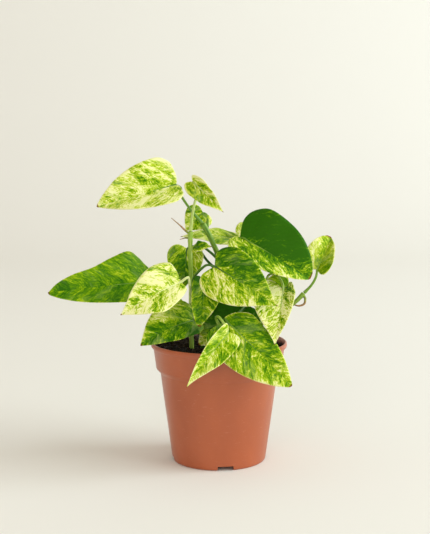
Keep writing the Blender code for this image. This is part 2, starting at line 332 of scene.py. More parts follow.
# The layers of streaks in a leaf's marbling, from coarse to fine: cells in a mm along the midrib
# and across it, a number that sets the layer apart, its detail and its strength.
STREAKS = (
    ((0.075, 0.05, 1), 1, 2.0),
    ((0.28, 0.16, 2), 3, 1.7),
    ((0.80, 0.46, 3), 3, 2.0),
    ((2.0, 1.2, 4), 2, 1.3),
)
STREAK_ROUGHNESS = 0.55
STREAK_BEND = 11.0  # how far the streaks wander
BEND_SCALE = (0.11, 0.11, 1)
HALVES_APART = 31.0  # how far the noise of one half of a blade is from the other's
HALF_REACH = 20.0  # from the midrib to where a half has its full lean
TIP_REACH = (45.0, 5.0)  # from the tip to where its lean starts and ends
RIM_REACH = (3.0, 0.4)
EDGE_REACH, EDGE_LIGHT = (0.7, 0.25), 0.2  # the thin light line along the rim
SHEEN_HAZE_SCALE, SHEEN_HAZE_RANGE = (0.10, 0.05, 5), (0.52, 0.64)  # the pale grey green patches, part grey green variegation and part painted sheen


def build_marbling() -> NodeTree:
    """Cream and green streaks that run along a leaf's side veins.

    Returns:
        The node group. Place is (start of the side vein along the midrib, distance across,
        distance to the tip).
    """
    numbers = ("Rim", "Seed", "Lightness", "Right lean", "Tip lean", "Rim lean", "Contrast")
    inputs = {"Place": "Vector", **dict.fromkeys(numbers, "Float")}
    graph = new_group("marbling", inputs, ("Tone", "Fibre", "Milk_sheen"))
    given = graph.add("NodeGroupInput").outputs
    forward, sideways, to_tip = graph.split(given["Place"])
    across = graph.math("ABSOLUTE", sideways)
    offset = graph.math("MULTIPLY_ADD", graph.math("SIGN", sideways), HALVES_APART, given["Seed"])
    straight = graph.vector(forward, across, offset)
    bend = graph.noise(graph.scaled(straight, BEND_SCALE), 1, 1)
    flow = graph.vector(graph.swing(bend, STREAK_BEND, forward), across, offset)
    total = given["Lightness"]
    for scale, detail, share in STREAKS:
        fibre = graph.noise(graph.scaled(flow, scale), 1, detail, STREAK_ROUGHNESS)
        strength = graph.swing(fibre, share, 0.0)
        total = graph.math("MULTIPLY_ADD", strength, given["Contrast"], total)
    leans = {
        "Right lean": graph.spread(sideways, -HALF_REACH, HALF_REACH, -1.0, 1.0),
        "Tip lean": graph.spread(to_tip, *TIP_REACH, -0.5, 0.5),
        "Rim lean": graph.spread(given["Rim"], *RIM_REACH),
    }
    for name, share in leans.items():
        total = graph.math("MULTIPLY_ADD", share, given[name], total)
    edge = graph.spread(given["Rim"], *EDGE_REACH, 0.0, EDGE_LIGHT)
    tone = graph.math("ADD", total, edge, clamp=True)
    # pale grey green patches along the streaks: part variegation, part painted sheen
    sheen_haze = graph.noise(graph.scaled(flow, SHEEN_HAZE_SCALE), 1, 3, 0.6)
    milk_sheen = graph.spread(sheen_haze, *SHEEN_HAZE_RANGE)
    graph.add("NodeGroupOutput", {"Tone": tone, "Fibre": fibre, "Milk_sheen": milk_sheen})
    return graph.tree


def build_mottle() -> NodeTree:
    """Soft cloudiness with fine grain, for surfaces that are nearly one colour.

    Returns:
        The node group, with a coarse and a fine mask from 0 to 1.
    """
    inputs = {"Place": "Vector", "Coarse": "Float", "Fine": "Float"}
    graph = new_group("mottle", inputs, ("Cloud", "Grain"))
    given = graph.add("NodeGroupInput").outputs
    cloud = graph.spread(graph.noise(given["Place"], given["Coarse"], 3), 0.32, 0.68)
    grain = graph.spread(graph.noise(given["Place"], given["Fine"], 2), 0.3, 0.7)
    graph.add("NodeGroupOutput", {"Cloud": cloud, "Grain": grain})
    return graph.tree


# --- Finishes ---


class LeafSide(Enum):
    """Which face of a blade a finish is for."""

    TOP = "top"
    UNDERSIDE = "underside"


@dataclass(frozen=True)
class Marbling:
    """How one leaf is coloured.

    lightness runs from 0, all deep green, to 1, all cream. The leans make the right half, the
    tip or the rim lighter, or darker where they are negative. The last field is the strength of
    its pale grey green patches, which are partly grey green variegation and partly painted sheen.
    """

    lightness: float = 0.45
    right_lean: float = 0.0
    tip_lean: float = 0.0
    rim_lean: float = 0.12
    contrast: float = 1.0
    milk_sheen: float = 0.25


@dataclass(frozen=True)
class LeafFinish:
    """Waxy leaf skin over streaks of deep green, yellow green and cream."""

    seed: float
    marbling: Marbling

    TONES = (
        (0.10, linear(38, 96, 0)), (0.28, linear(70, 124, 0)), (0.45, linear(108, 152, 0)),
        (0.60, linear(158, 186, 10)), (0.75, linear(204, 216, 76)), (0.92, linear(236, 237, 170)),
    )
    # the patches' pale grey green, part variegation and part painted sheen
    MILKY_SHEEN = linear(190, 206, 122)
    WITHERED = linear(120, 66, 24)
    WITHERED_REACH = (2.2, 0.6)  # from the tip
    BLOOM, BLOOM_SHARE = linear(150, 178, 90), 0.3  # the underside's dull bloom
    WAX = (0.8, 0.95, 0.4, 1)  # the tint of what the skin mirrors
    SHINE = {LeafSide.TOP: 0.18, LeafSide.UNDERSIDE: 0.12}
    ROUGHNESS = {LeafSide.TOP: (0.42, 0.52), LeafSide.UNDERSIDE: (0.55, 0.65)}
    RELIEF = {LeafSide.TOP: 0.25, LeafSide.UNDERSIDE: 0.35}
    VEINS = 1.15  # the side veins' angle in a mm along the midrib

    def material(self, name: str, side: LeafSide) -> Material:
        """Builds the skin of one face.

        Args:
            name: the leaf's name.
            side: the face that it is for.

        Returns:
            The material.
        """
        graph = MaterialGraph(f"{name} {side.value}")
        place = graph.attribute("leaf_place", "Vector")
        look = self.marbling
        values = {
            "Place": place, "Rim": graph.attribute("rim_distance"), "Seed": self.seed,
            "Lightness": look.lightness, "Right lean": look.right_lean,
            "Tip lean": look.tip_lean, "Rim lean": look.rim_lean, "Contrast": look.contrast,
        }
        group = shared_group("marbling", build_marbling)
        marbling = graph.add("Group", values, node_tree=group).outputs
        colour = graph.ramp(marbling["Tone"], self.TONES)
        # mixes in the pale grey green patches, part variegation and part painted sheen
        milky_sheen = graph.math("MULTIPLY", marbling["Milk_sheen"], look.milk_sheen)
        colour = graph.mix(milky_sheen, colour, self.MILKY_SHEEN)
        start, _, to_tip = graph.split(place)
        colour = graph.mix(graph.spread(to_tip, *self.WITHERED_REACH), colour, self.WITHERED)
        if side is LeafSide.UNDERSIDE:
            colour = graph.mix(self.BLOOM_SHARE, colour, self.BLOOM)
        fibre = marbling["Fibre"]
        rough = graph.spread(fibre, 0.3, 0.7, *self.ROUGHNESS[side])
        veins = graph.math("SINE", graph.math("MULTIPLY", start, self.VEINS))
        height = graph.math("MULTIPLY_ADD", veins, 0.25, graph.math("MULTIPLY", fibre, 0.5))
        graph.reflect(self.SHINE[side])
        graph.shader.inputs["Specular Tint"].default_value = self.WAX
        return graph.finish(colour, rough, graph.bump(height, self.RELIEF[side], 0.7))


@dataclass(frozen=True)
class StalkFinish:
    """Smooth juicy stalk with pale lines along it; tone runs from 0, deep green, to 1, cream."""

    tone: float

    TONES = (
        (0.0, linear(30, 78, 4)), (0.35, linear(84, 130, 14)), (0.65, linear(150, 182, 60)),
        (1.0, linear(226, 232, 165)),
    )
    CELLS_ALONG = 0.05  # in a mm
    CELLS_AROUND = 5.0  # in a turn

    def material(self, name: str) -> Material:
        """Builds the finish.

        Args:
            name: the stalk's name.

        Returns:
            The material.
        """
        graph = MaterialGraph(name)
        along = graph.math("MULTIPLY", graph.attribute("along"), self.CELLS_ALONG)
        around = graph.math("MULTIPLY", graph.attribute("around"), self.CELLS_AROUND)
        line = graph.noise(graph.vector(along, around), 1.0, 3, 0.6)
        colour = graph.ramp(graph.swing(line, 1.2, self.tone, clamp=True), self.TONES)
        rough = graph.spread(line, 0.3, 0.7, 0.36, 0.5)
        return graph.finish(colour, rough, graph.bump(line, 0.25, 0.6))


@dataclass(frozen=True)
class DryFinish:
    """Thin brown skin of a dried sheath or an old root, still green where it starts."""

    fresh: Colour = linear(128, 160, 40)
    dry: Colour = linear(172, 132, 84)
    dark: Colour = linear(90, 58, 30)
    green_reach: tuple[float, float] = (1.0, 9.0)

    def material(self, name: str) -> Material:
        """Builds the finish.

        Args:
            name: the piece's name.

        Returns:
            The material.
        """
        graph = MaterialGraph(name)
        grain = graph.noise(graph.place(), 900, 3)
        dried = graph.spread(graph.attribute("along"), *self.green_reach)
        colour = graph.mix(dried, self.fresh, self.dry)
        colour = graph.mix(graph.spread(grain, 0.35, 0.65, 0, 0.5), colour, self.dark)
        rough = graph.spread(grain, 0.3, 0.7, 0.6, 0.8)
        return graph.finish(colour, rough, graph.bump(grain, 0.2, 0.6))


@dataclass(frozen=True)
class PotFinish:
    """Satin moulded polypropylene in terracotta, with faint flow marks, scuffs and, on the inner
    wall, painted shade in the colour of peat.

    inner_slope and inner_start, in metres, are a cone just inside the wall, above inner_floor.
    The last field is between which heights in metres the painted shade on the inner wall ends.
    """

    colour: Colour = linear(177, 88, 44)
    deep: Colour = linear(148, 68, 33)
    scuffed: Colour = linear(205, 142, 112)
    # the colour of the painted shade on the inner wall
    peat: Colour = linear(34, 24, 12)
    inner_slope: float = 0.128
    inner_start: float = 0.0443
    inner_floor: float = 0.09
    inner_shade_edge: tuple[float, float] = (0.1085, 0.1045)

    def material(self, name: str) -> Material:
        """Builds the finish.

        Args:
            name: the material's name.

        Returns:
            The material.
        """
        graph = MaterialGraph(name)
        place = graph.place()
        values = {"Place": graph.scaled(place, (1, 1, 0.45)), "Coarse": 28.0, "Fine": 1400.0}
        group = shared_group("mottle", build_mottle)
        mottle = graph.add("Group", values, node_tree=group).outputs
        cloud = mottle["Cloud"]
        colour = graph.mix(graph.math("MULTIPLY", cloud, 0.45), self.colour, self.deep)
        scuff = graph.noise(graph.scaled(place, (1, 1, 6)), 160, 4, 0.65)
        colour = graph.mix(graph.spread(scuff, 0.62, 0.72, 0, 0.35), colour, self.scuffed)
        # painted shade on the inner wall around the peat's surface, up to near the rim
        inner_shade = self.inner_shade_mask(graph, place)
        colour = graph.mix(inner_shade, colour, self.peat)
        rough = graph.spread(cloud, 0, 1, 0.28, 0.38)
        graph.reflect(0.7)
        fine = graph.bump(mottle["Grain"], 0.03, 0.5)
        return graph.finish(colour, rough, graph.bump(cloud, 0.12, 0.4, fine))

    def inner_shade_mask(self, graph: Graph, place: NodeSocket) -> NodeSocket:
        """Where the inner wall is painted with shade in the colour of peat, up to near the rim.

        Args:
            graph: the material's graph.
            place: the place on the pot.

        Returns:
            The mask's socket.
        """
        x, y, z = graph.split(place)
        squares = graph.math("ADD", graph.math("POWER", x, 2), graph.math("POWER", y, 2))
        from_axis = graph.math("POWER", squares, 0.5)
        from_cone = graph.math("MULTIPLY_ADD", z, -self.inner_slope, from_axis)
        inner = graph.math("LESS_THAN", from_cone, self.inner_start)
        inside = graph.math("MULTIPLY", inner, graph.math("GREATER_THAN", z, self.inner_floor))
        level = graph.math("MULTIPLY_ADD", graph.noise(place, 120, 4, 0.65), 0.008, z)
        return graph.math("MULTIPLY", inside, graph.spread(level, *self.inner_shade_edge))


@dataclass(frozen=True)
class PeatFinish:
    """Damp dark peat with fibres; light is how much drier and paler than damp it is."""

    light: float = 0.0
    dark: Colour = linear(12, 9, 3)
    brown: Colour = linear(26, 19, 8)
    pale: Colour = linear(60, 44, 22)
    dry: Colour = linear(120, 92, 60)

    def material(self, name: str) -> Material:
        """Builds the finish.

        Args:
            name: the material's name.

        Returns:
            The material.
        """
        graph = MaterialGraph(name)
        place = graph.place()
        coarse = graph.noise(place, 260, 4, 0.6)
        fine = graph.noise(place, 1100, 3, 0.6)
        colour = graph.mix(graph.spread(coarse, 0.4, 0.65), self.dark, self.brown)
        colour = graph.mix(graph.spread(fine, 0.6, 0.75, 0, 0.6), colour, self.pale)
        if self.light:
            colour = graph.mix(self.light, colour, self.dry)
        graph.reflect(0.15)
        rough = graph.spread(fine, 0.3, 0.7, 0.8, 1.0)
        return graph.finish(colour, rough, graph.bump(fine, 0.6, 0.9))


@dataclass(frozen=True)
class GrainFinish:
    """Plain crumbly grain in one colour, such as perlite or a chip of bark."""

    colour: Colour
    shade: float = 0.6

    def material(self, name: str) -> Material:
        """Builds the finish.

        Args:
            name: the material's name.

        Returns:
            The material.
        """
        graph = MaterialGraph(name)
        pits = graph.noise(graph.place(), 1500, 3, 0.6)
        shaded = tuple(value * self.shade for value in self.colour)
        colour = graph.mix(graph.spread(pits, 0.35, 0.65), shaded, self.colour)
        rough = graph.spread(pits, 0.3, 0.7, 0.75, 0.95)
        return graph.finish(colour, rough, graph.bump(pits, 0.2, 0.8))


# --- Pieces ---


def link_object(name: str, data: ID) -> Object:
    """Puts a mesh, a light or a camera into the scene.

    Args:
        name: the object's name.
        data: what it shows.

    Returns:
        The new object.
    """
    thing = bpy.data.objects.new(name, data)
    bpy.context.scene.collection.objects.link(thing)
    return thing


def finish_mesh(bm: BMesh, name: str, sharp: float = 180.0, facing: Vector | None = None) -> Mesh:
    """Turns a bmesh into a mesh with its faces outwards and shaded smooth.

    Args:
        bm: the bmesh, which is freed.
        name: the mesh's name.
        sharp: the angle in degrees above which an edge stays sharp.
        facing: for an open sheet, the direction that its faces look to.

    Returns:
        The mesh.
    """
    bmesh.ops.recalc_face_normals(bm, faces=bm.faces)
    if facing is not None:
        bm.faces.ensure_lookup_table()
        if bm.faces[len(bm.faces) // 2].normal.dot(facing) < 0:
            bmesh.ops.reverse_faces(bm, faces=bm.faces)
    mesh = bpy.data.meshes.new(name)
    bm.to_mesh(mesh)
    bm.free()
    mesh.shade_smooth()
    if sharp < 180:
        mesh.set_sharp_from_angle(angle=math.radians(sharp))
    return mesh


def add_piece(name: str, mesh: Mesh, materials: Sequence[Material], node: str) -> Object:
    """Puts a finished mesh into the scene as a piece of the plant.

    Args:
        name: the piece's name.
        mesh: its mesh, in place.
        materials: its materials, in slot order.
        node: the CAD node that it stands for.

    Returns:
        The new object.
    """
    piece = link_object(name, mesh)
    for material in materials:
        mesh.materials.append(material)
    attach(piece, BODY)
    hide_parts(node)
    log.info("%s: %d faces", name, len(mesh.polygons))
    return piece


def lathe(section: Sequence[tuple[float, float]], sides: int) -> BMesh:
    """Turns a section round the z axis.

    Args:
        section: its points as (radius, height), from axis to axis.
        sides: how many steps the turn has.

    Returns:
        The closed shape.
    """
    bm = bmesh.new()
    verts = [bm.verts.new((radius * MM, 0, height * MM)) for radius, height in section]
    edges = [bm.edges.new(pair) for pair in zip(verts, verts[1:])]
    bmesh.ops.spin(
        bm, geom=verts + edges, cent=(0, 0, 0), axis=(0, 0, 1), angle=math.tau, steps=sides,
        use_merge=True,
    )
    bmesh.ops.remove_doubles(bm, verts=bm.verts, dist=0.005 * MM)
    return bm


def ring_edges(ring: Sequence[BMVert]) -> list[BMEdge]:
    """The edges that join the points of one ring, in the points' order."""
    edges = dict.fromkeys(edge for vert in ring for edge in vert.link_edges)
    return [edge for edge in edges if all(end in ring for end in edge.verts)]


@dataclass
class Tube:
    """A round stem through points, with a radius at each of them.

    upward is its upper side, and groove is the share of the radius by which that is hollowed.
    """

    route: list[Vector]
    radii: list[float]
    upward: Vector = field(default_factory=lambda: Vector((0, 0, 1)))
    sides: int = 12
    groove: float = 0.0

    END_ROUNDING = 0.3  # how far the middle of an end stands out, in radii
    SHARP = 60

    def mesh(self, name: str) -> Mesh:
        """Builds the tube, and notes on its points how far along and around they are.

        Args:
            name: the mesh's name.

        Returns:
            The mesh.
        """
        bm = bmesh.new()
        along_layer = bm.verts.layers.float.new("along")
        around_layer = bm.verts.layers.float.new("around")
        rings = []
        far = 0.0
        start = self.route[1] - self.route[0]
        across = self.upward.cross(start)
        if across.length < 1e-6:
            across = start.orthogonal()
        for index, (centre, radius) in enumerate(zip(self.route, self.radii)):
            before = self.route[max(index - 1, 0)]
            after = self.route[min(index + 1, len(self.route) - 1)]
            along = (after - before).normalized()
            across = (across - across.dot(along) * along).normalized()
            up = along.cross(across)
            frame = Matrix((across, up, along)).transposed().to_4x4()
            place = Matrix.Translation(centre * MM) @ frame
            ring = bmesh.ops.create_circle(
                bm, segments=self.sides, radius=radius * MM, matrix=place
            )["verts"]
            far += (centre - before).length
            for number, vert in enumerate(ring):
                local = frame.inverted() @ (vert.co / MM - centre)
                height = max(0.0, local.y / radius)
                vert.co -= up * (self.groove * radius * height**3 * MM)
                vert[along_layer] = far
                vert[around_layer] = number / self.sides
            rings.append(ring)
        for ring, following in zip(rings, rings[1:]):
            bmesh.ops.bridge_loops(bm, edges=ring_edges(ring) + ring_edges(following))
        for ring in (rings[0], rings[-1]):
            cap = bmesh.ops.holes_fill(bm, edges=ring_edges(ring), sides=self.sides)["faces"]
            bmesh.ops.poke(bm, faces=cap, offset=self.END_ROUNDING * self.radii[0] * MM)
        return finish_mesh(bm, name, self.SHARP)


class Side(Enum):
    """A half of a blade, as seen from above it, looking from its base to its tip."""

    RIGHT = 1
    LEFT = -1


class Outline(Enum):
    """Half outlines of a blade, from the notch at its base to its tip.

    Each row holds the place along the midrib where it starts, the place along the midrib of its
    edge point, and that point's share of the width.
    """

    HEART = (
        (0.00, -0.035, 0.17), (0.02, -0.075, 0.46), (0.05, -0.035, 0.75), (0.13, 0.09, 0.97),
        (0.24, 0.26, 1.00), (0.40, 0.48, 0.86), (0.57, 0.68, 0.57), (0.73, 0.83, 0.28),
        (0.89, 0.94, 0.08), (1.00, 1.00, 0.00),
    )
    SLOPED = (
        (0.00, -0.035, 0.17), (0.02, -0.03, 0.36), (0.05, 0.02, 0.52), (0.13, 0.12, 0.72),
        (0.24, 0.28, 0.92), (0.40, 0.47, 1.00), (0.57, 0.66, 0.75), (0.73, 0.82, 0.42),
        (0.89, 0.94, 0.13), (1.00, 1.00, 0.00),
    )
    RIDGED = (
        (0.00, -0.035, 0.17), (0.02, -0.05, 0.42), (0.05, -0.01, 0.62), (0.13, 0.05, 0.84),
        (0.24, 0.16, 1.00), (0.40, 0.35, 0.82), (0.57, 0.55, 0.57), (0.73, 0.75, 0.43),
        (0.89, 0.90, 0.24), (1.00, 1.00, 0.00),
    )


@dataclass(frozen=True)
class Half:
    """One half of a blade.

    fold is the angle in degrees by which it is raised from flat, full is how full its outline
    stays towards the tip, slim is how much narrower it starts at the base, curl is how far its
    rim turns down, and turn is how far its base corner turns away.
    """

    width: float
    fold: float = 8.0
    full: float = 0.0
    slim: float = 0.0
    outline: Outline = Outline.HEART
    curl: float = 0.8
    turn: float = 0.0

    SLIM_END, FULL_START = 0.1, 0.26  # along the midrib

    def share(self, edge: float, width: float) -> float:
        """The share of the full width at an edge point, with fullness and slimness added."""
        past = min(1.0, max(0.0, (edge - self.SLIM_END) / (self.FULL_START - self.SLIM_END)))
        return width ** (1 - self.full * past + 2 * self.slim * (1 - past))


@dataclass(frozen=True)
class Ruffle:
    """A wave along the rim of a blade: its height, how many there are and where they start."""

    height: float = 0.8
    count: float = 2.3
    start: float = 0.1


@dataclass(frozen=True)
class LeafPlan:
    """The sizes and places of one leaf, with its looks.

    face is the direction of its upper side, arch is how far its midrib bows upwards, lobe is how
    far the lobes at its base reach back, and stalk is the route of its stalk up to the base.
    """

    base: Point
    tip: Point
    face: Point
    right: Half
    left: Half
    stalk: tuple[Point, ...]
    arch: float = 3.0
    lobe: float = 1.0
    ruffle: Ruffle = Ruffle()
    marbling: Marbling = Marbling()
    stalk_tone: float = 0.4
    slot: str = "leaf_green"


@dataclass
class Leaf:
    """One heart-shaped leaf: a thin blade on a stalk that runs on as the rib below it."""

    name: str
    plan: LeafPlan
    seed: float

    ROWS, COLUMNS = 46, 26
    CROWDING = 1.25  # above 1, the columns stand closer at the midrib
    THICKNESS = 0.42
    SWEEP = 1.15  # how a side vein bends from its start to the rim
    VEIN_SLANT, VEIN_BEND = 0.75, 0.01
    CREASE = 1.6  # the radius of the crease along the midrib
    RIMS_APART = 0.37  # how far the left rim's wave is from the right one's, halved
    QUILT, QUILTS = 0.22, 9  # the height and number of the soft folds between side veins
    GROOVE, GROOVE_WIDTH = 0.35, 0.9  # along the midrib
    CORNER, CORNER_WIDTH = 0.02, 0.13  # the place along the midrib of a turned base corner
    RIB_DEPTH = 0.9
    RIB_PLACES = (0.03, 0.15, 0.35, 0.6, 0.85)
    RIB_RADIUS, RIB_TIP = 0.95, 0.2
    STALK_RADIUS, STALK_TAPER, STALK_GROOVE = 1.2, 0.12, 0.25
    SHEATH, SHEATH_REACH = 0.35, 0.16
    KNEE, KNEE_REACH = 0.25, 0.07

    def __post_init__(self) -> None:
        """Works out the blade's own directions and its smooth outline."""
        self.base = Vector(self.plan.base)
        self.run = Vector(self.plan.tip) - self.base
        self.length = self.run.length
        along = self.run.normalized()
        face = Vector(self.plan.face)
        self.up = (face - face.dot(along) * along).normalized()
        self.rows = {outline: smooth_rows(outline.value, self.ROWS) for outline in Outline}

    def spine(self, x: float) -> Vector:
        """The midrib's place at a share x of its length; below 0 it runs on straight."""
        rise = 4 * x * (1 - x) if x > 0 else 4 * x
        return self.base + self.run * x + self.up * (self.plan.arch * rise)

    def frame(self, x: float) -> tuple[Vector, Vector]:
        """The blade's directions at a place on its midrib.

        Args:
            x: share of the midrib's length.

        Returns:
            The sideways direction, to the right, and the upward one.
        """
        along = (self.spine(x + 0.01) - self.spine(x - 0.01)).normalized()
        up = (self.up - self.up.dot(along) * along).normalized()
        return along.cross(up), up

    def place(self, row: int, across: float) -> tuple[Vector, Point, float]:
        """One point of the blade.

        Args:
            row: the row's number, from the base to the tip.
            across: from -1 at the left rim to 1 at the right rim.

        Returns:
            The point, its place for the marbling and its distance to the rim.
        """
        side = Side.RIGHT if across > 0 else Side.LEFT
        half = self.plan.right if side is Side.RIGHT else self.plan.left
        start, edge, width = self.rows[half.outline][row]
        reach = abs(across)
        width = half.share(edge, width)
        if edge < 0:
            edge *= self.plan.lobe
        x = start + (edge - start) * reach**self.SWEEP
        out = half.width * width * reach
        ruffle = self.plan.ruffle
        turns = ruffle.count * x + ruffle.start + self.RIMS_APART * side.value
        wave = ruffle.height * math.sin(math.tau * turns)
        quilt = self.QUILT * abs(math.sin(math.pi * start * self.QUILTS)) * 4 * reach * (1 - reach)
        rise = (wave * reach**2 - half.curl * reach**3 + quilt) * width
        rise -= self.GROOVE * bell(out, self.GROOVE_WIDTH)
        rise -= half.turn * reach**2 * bell(x - self.CORNER, self.CORNER_WIDTH)
        sideways, up = self.frame(x)
        fold = math.radians(half.fold)
        creased = math.hypot(out, self.CREASE) - self.CREASE
        point = self.spine(x) + sideways * (side.value * out * math.cos(fold))
        point += up * (creased * math.sin(fold) + rise)
        vein = x * self.length - self.VEIN_SLANT * out - self.VEIN_BEND * out**2
        marbled = (vein, side.value * out, (1 - x) * self.length)
        return point, marbled, half.width * width * (1 - reach)

    def blade_mesh(self) -> Mesh:
        """The blade's upper surface, bent from a flat grid.

        Returns:
            The mesh, with each point's place in the marbling as an attribute.
        """
        bm = bmesh.new()
        bmesh.ops.create_grid(bm, x_segments=self.ROWS, y_segments=self.COLUMNS, size=1)
        marbled = bm.verts.layers.float_vector.new("leaf_place")
        rim_layer = bm.verts.layers.float.new("rim_distance")
        for vert in bm.verts:
            row = round((vert.co.x + 1) / 2 * self.ROWS)
            across = math.copysign(abs(vert.co.y) ** self.CROWDING, vert.co.y)
            point, place, rim = self.place(row, across)
            vert.co = point * MM
            vert[marbled] = Vector(place)
            vert[rim_layer] = rim
        bmesh.ops.remove_doubles(bm, verts=bm.verts, dist=0.01 * MM)
        return finish_mesh(bm, self.name, facing=self.up)

    def build_blade(self) -> None:
        """Builds the blade with its thickness and its two skins."""
        finish = LeafFinish(self.seed, self.plan.marbling)
        skins = [finish.material(self.name, side) for side in LeafSide]
        name = f"{self.name}_blade"
        blade = add_piece(name, self.blade_mesh(), skins, self.name)
        wall = blade.modifiers.new("thickness", "SOLIDIFY")
        wall.thickness = self.THICKNESS * MM
        wall.offset = -1
        wall.material_offset = 1

    def stalk_radius(self, share: float) -> float:
        """The stalk's radius, with its sheath at the stem and its knee at the blade.

        Args:
            share: how far along the stalk the place is, from 0 to 1.

        Returns:
            The radius there.
        """
        sheath = self.SHEATH * bell(share, self.SHEATH_REACH)
        knee = self.KNEE * bell(1 - share, self.KNEE_REACH)
        return self.STALK_RADIUS * (1.0 - self.STALK_TAPER * share) + sheath + knee

    def build_stalk(self) -> None:
        """Builds the stalk, which runs on below the midrib as a rib that thins to the tip."""
        rib = [self.spine(x) - self.up * self.RIB_DEPTH for x in self.RIB_PLACES]
        route = smooth_route([*self.plan.stalk, *rib], 1.6)
        at_base = min(range(len(route)), key=lambda index: (route[index] - rib[0]).length)
        radii = [self.stalk_radius(index / at_base) for index in range(at_base + 1)]
        left = len(route) - 1 - at_base
        radii += [self.RIB_RADIUS * (1 - n / left) + self.RIB_TIP for n in range(1, left + 1)]
        mesh_name = f"{self.name}_stalk"
        mesh = Tube(route, radii, self.up, groove=self.STALK_GROOVE).mesh(mesh_name)
        skin = StalkFinish(self.plan.stalk_tone).material(mesh_name)
        add_piece(mesh_name, mesh, [skin], self.name)

    def build(self) -> None:
        """Builds and dresses the whole leaf."""
        self.build_blade()
        self.build_stalk()


